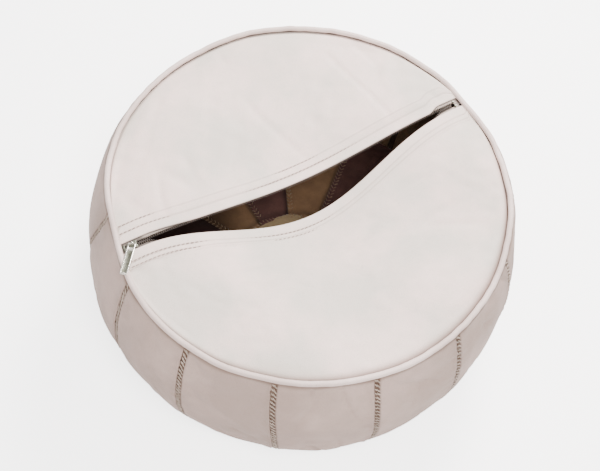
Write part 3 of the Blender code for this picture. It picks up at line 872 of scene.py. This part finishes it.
def cord():
    """Three twisted strands inside the welt."""
    count, turns = 420, 60
    angle, radius, height = ring_path(count)
    strands = []
    for k in range(3):
        twist = turns * angle + 2 * math.pi * k / 3
        strands.append(around(radius + 1.15 * MM * np.cos(twist), angle, height + 1.15 * MM * np.sin(twist)))
    vertices, faces = tubes([np.concatenate([s, s[:1]]) for s in strands], [1.15 * MM] * 3, sides=5)
    piece = new_piece("welt_cord_strands", vertices, faces, CORD)
    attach(piece, "shell")
    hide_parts("welt_cord")


# --- Zip hardware ---------------------------------------------------------------------------------------------


def solid(name, outline, low, high, bevel=0.0, segments=2):
    """A prism on a plan outline, with rounded edges."""
    bm = bmesh.new()
    ring = [bm.verts.new((x, y, low)) for x, y in outline]
    base = bm.faces.new(ring)
    moved = bmesh.ops.extrude_face_region(bm, geom=[base])["geom"]
    raised = [g for g in moved if isinstance(g, bmesh.types.BMVert)]
    bmesh.ops.translate(bm, verts=raised, vec=(0, 0, high - low))
    bmesh.ops.recalc_face_normals(bm, faces=bm.faces)
    mesh = bpy.data.meshes.new(name)
    bm.to_mesh(mesh)
    bm.free()
    made = bpy.data.objects.new(name, mesh)
    bpy.context.scene.collection.objects.link(made)
    if bevel:
        rounding = made.modifiers.new("Rounding", "BEVEL")
        rounding.width = bevel
        rounding.segments = segments
        rounding.limit_method = "ANGLE"
        bake(made)
    return made


def rounded(length, width, corner, start=0.0, steps=5):
    """Outline of a rectangle along +X with round corners."""
    points = []
    for cx, cy, first in (
        (start + length - corner, width / 2 - corner, 0),
        (start + corner, width / 2 - corner, 90),
        (start + corner, -width / 2 + corner, 180),
        (start + length - corner, -width / 2 + corner, 270),
    ):
        for i in range(steps):
            turn = math.radians(first + 90 * i / (steps - 1))
            points.append((cx + corner * math.cos(turn), cy + corner * math.sin(turn)))
    return points


def combine(target, other, operation):
    """Joins another solid into the target, or cuts it away."""
    step = target.modifiers.new(operation, "BOOLEAN")
    step.operation = operation
    step.object = other
    bake(target)
    bpy.data.objects.remove(other)


def shade_level_faces(piece, low, high, reach):
    """Gives the darker nickel, painted shade, to faces that lie level, between two heights and within a reach of
    the X axis.
    """
    for face in piece.data.polygons:
        level = abs(face.normal.z) > 0.9 and low < face.center.z < high
        face.material_index = int(level and abs(face.center.y) < reach)


def finish_metal(piece, body, *nodes):
    """Rounds the last sharp edges of a metal piece and hands it over."""
    rounding = piece.modifiers.new("Rounding", "BEVEL")
    rounding.width = 0.16 * MM
    rounding.segments = 2
    rounding.limit_method = "ANGLE"
    rounding.angle_limit = math.radians(40)
    bake(piece)
    piece.data.materials.append(NICKEL)
    piece.data.materials.append(SHADED_NICKEL)
    piece.data.shade_smooth()
    piece.data.set_sharp_from_angle(angle=math.radians(50))
    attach(piece, body)
    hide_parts(*nodes)


def slider():
    """Two shield-shaped plates on a wedge, with an arched crown that holds the tab."""
    low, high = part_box("zip_slider")
    plate = 1.2 * MM
    gap_top = TAPE_Z - 0.3 * MM + 1.6 * MM
    gap_low = gap_top - 3.2 * MM
    half, tail, nose = (high.x - low.x) / 2, 3.7 * MM, (high.y - low.y) / 2
    shield = [(-half, -tail), (-1 * MM, -tail), (half - 2.5 * MM, -nose), (half - 0.6 * MM, -nose + 1.2 * MM)]
    shield += [(half - 1.6 * MM, 0)]
    shield += [(x, -y) for x, y in reversed(shield[:-1])]
    outline = [(SLIDER_X + x, ZIP_Y + y) for x, y in shield]
    body = solid("slider_body", outline, gap_top, gap_top + plate, 0.35 * MM)
    combine(body, solid("lower", outline, gap_low - plate, gap_low, 0.35 * MM), "UNION")
    wedge = [(SLIDER_X + half - 5 * MM, ZIP_Y), (SLIDER_X + half - 2 * MM, ZIP_Y - 1.1 * MM)]
    wedge += [(SLIDER_X + half - 1.8 * MM, ZIP_Y), (SLIDER_X + half - 2 * MM, ZIP_Y + 1.1 * MM)]
    combine(body, solid("wedge", wedge, gap_low - 0.5 * MM, gap_top + 0.5 * MM), "UNION")
    hinge = joint("tab_swing")["pos_m"][2]
    crown = crown_arch(hinge, gap_top + plate)
    combine(body, crown, "UNION")
    shade_level_faces(body, 0, TOP, 1)
    finish_metal(body, "slider", "zip_slider")


def crown_arch(hinge, deck):
    """The slider's crown: a strap bent over the tab's bar, along the zip."""
    wall, hole = 1.0 * MM, 2.0 * MM
    turn = np.linspace(0, math.pi, 13)
    outer = [((hole + wall) * math.cos(a), hinge + (hole + wall) * math.sin(a)) for a in turn]
    inner = [(hole * math.cos(a), hinge + hole * math.sin(a)) for a in turn[::-1]]
    section = [(hole + wall, deck - 0.4 * MM), *outer, (-hole - wall, deck - 0.4 * MM)]
    section += [(-hole, deck - 0.4 * MM), *inner, (hole, deck - 0.4 * MM)]
    strap = solid("crown", section, -0.6 * MM, 0.6 * MM)
    strap.data.transform(Matrix.Rotation(math.pi / 2, 4, "X"))
    strap.data.transform(Matrix.Translation((SLIDER_X, ZIP_Y, 0)))
    return strap


def pull_tab():
    """A long flat tab with a raised border on both faces and an eye at its hinged end."""
    swing = joint("tab_swing")
    length, width, thick, bar = 43 * MM, 9.2 * MM, 1.3 * MM, 0.6 * MM
    tab = solid("tab_plate", rounded(length + bar, width, 1.6 * MM, -bar), -bar, thick - bar)
    combine(tab, solid("eye", rounded(5 * MM, 6.4 * MM, 1.2 * MM, bar), -3 * MM, 3 * MM), "DIFFERENCE")
    field = rounded(length - 12 * MM, width - 2.8 * MM, 1.0 * MM, 10 * MM)
    combine(tab, solid("field_top", field, thick - bar - 0.32 * MM, 3 * MM), "DIFFERENCE")
    combine(tab, solid("field_low", field, -3 * MM, -bar + 0.32 * MM), "DIFFERENCE")
    shade_level_faces(tab, -bar + 0.1 * MM, thick - bar - 0.1 * MM, width / 2)
    yaw = math.atan2(swing["axis"][0], -swing["axis"][1])
    rise = math.radians(5.9)
    pose = Matrix.Translation(swing["pos_m"]) @ Matrix.Rotation(yaw, 4, "Z") @ Matrix.Rotation(-rise, 4, "Y")
    tab.data.transform(pose)
    finish_metal(tab, "pull_tab", "pull_tab")


def stop(node):
    """A pressed metal stop, crimped round the tape."""
    low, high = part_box(node)
    centre = (low + high) / 2
    outline = [(centre.x + x, centre.y + y) for x, y in rounded(high.x - low.x, high.y - low.y, 0.7 * MM)]
    outline = [(x - (high.x - low.x) / 2, y) for x, y in outline]
    clip = solid(f"{node}_metal", outline, low.z, high.z, 0.3 * MM)
    # painted shade: the whole stop takes the darker nickel
    for face in clip.data.polygons:
        face.material_index = 1
    finish_metal(clip, "shell", node)


# --- Stage ----------------------------------------------------------------------------------------------------


def floor():
    """A plain white floor, which the camera sees a little brighter than the lights alone make it."""
    finish = Finish("floor", 0.8)
    finish.colour(finish.mix(finish.noise(2.0), (0.90, 0.90, 0.90), (0.92, 0.92, 0.92)))
    seen = finish.nodes.new("ShaderNodeLightPath").outputs["Is Camera Ray"]
    finish.shader.inputs["Emission Color"].default_value = (1, 1, 1, 1)
    finish.links.new(finish.spread(seen, 0.0, 1.0, 0.0, 3.0), finish.shader.inputs["Emission Strength"])
    bpy.ops.mesh.primitive_plane_add(size=14, location=(0, 0, -0.0006))
    plane = bpy.context.object
    plane.name = "floor"
    plane.data.materials.append(finish.material)


def lights():
    """A bright even sky, a soft box above the near side, and another beyond the far right."""
    world = bpy.data.worlds.new("studio")
    bpy.context.scene.world = world
    world.use_nodes = True
    world.node_tree.nodes["Background"].inputs["Color"].default_value = (*TINT, 1)
    world.node_tree.nodes["Background"].inputs["Strength"].default_value = 1.15
    for name, place, size, energy in (
        ("front_box", (-0.2, -0.8, 2.0), 0.7, 48),
        ("back_box", (1.1, 0.8, 1.5), 0.8, 85),
    ):
        box = bpy.data.lights.new(name, "AREA")
        box.shape = "DISK"
        box.size = size
        box.energy = energy
        box.color = TINT
        lamp = bpy.data.objects.new(name, box)
        bpy.context.scene.collection.objects.link(lamp)
        lamp.location = place
        lamp.rotation_euler = (Vector((0, 0, 0.2)) - lamp.location).to_track_quat("-Z", "Y").to_euler()


def camera():
    """The camera looks down at the near side, rolled so that the zip rises to the right."""
    azimuth, elevation, roll = math.radians(-36.2), math.radians(62.2), math.radians(8.3)
    target, distance = Vector((-0.0026, 0.002, 0.125)), 1.393
    level = Vector((math.sin(azimuth), -math.cos(azimuth), 0))
    back = level * math.cos(elevation) + Vector((0, 0, math.sin(elevation)))
    right = Vector((math.cos(azimuth), math.sin(azimuth), 0))
    up = back.cross(right)
    across = right * math.cos(roll) + up * math.sin(roll)
    above = up * math.cos(roll) - right * math.sin(roll)
    data = bpy.data.cameras.new("camera")
    data.sensor_width = 36
    data.lens = 36 * 1048 / 600
    made = bpy.data.objects.new("camera", data)
    bpy.context.scene.collection.objects.link(made)
    turn = Matrix((across, above, back)).transposed().to_4x4()
    made.matrix_world = Matrix.Translation(target + back * distance) @ turn
    bpy.context.scene.camera = made


for half in (NEAR, FAR):
    face_half(half)
    topstitching(half)
    tape(half)
    teeth(half)
for number in range(PANELS):
    side_panel(number)
    side_lacing(number)
    gore(number)
gore_sewing()
medallion()
welt()
cord()
slider()
pull_tab()
for end_stop in ("zip_bottom_stop", "near_zip_top_stop", "far_zip_top_stop"):
    stop(end_stop)
floor()
lights()
camera()
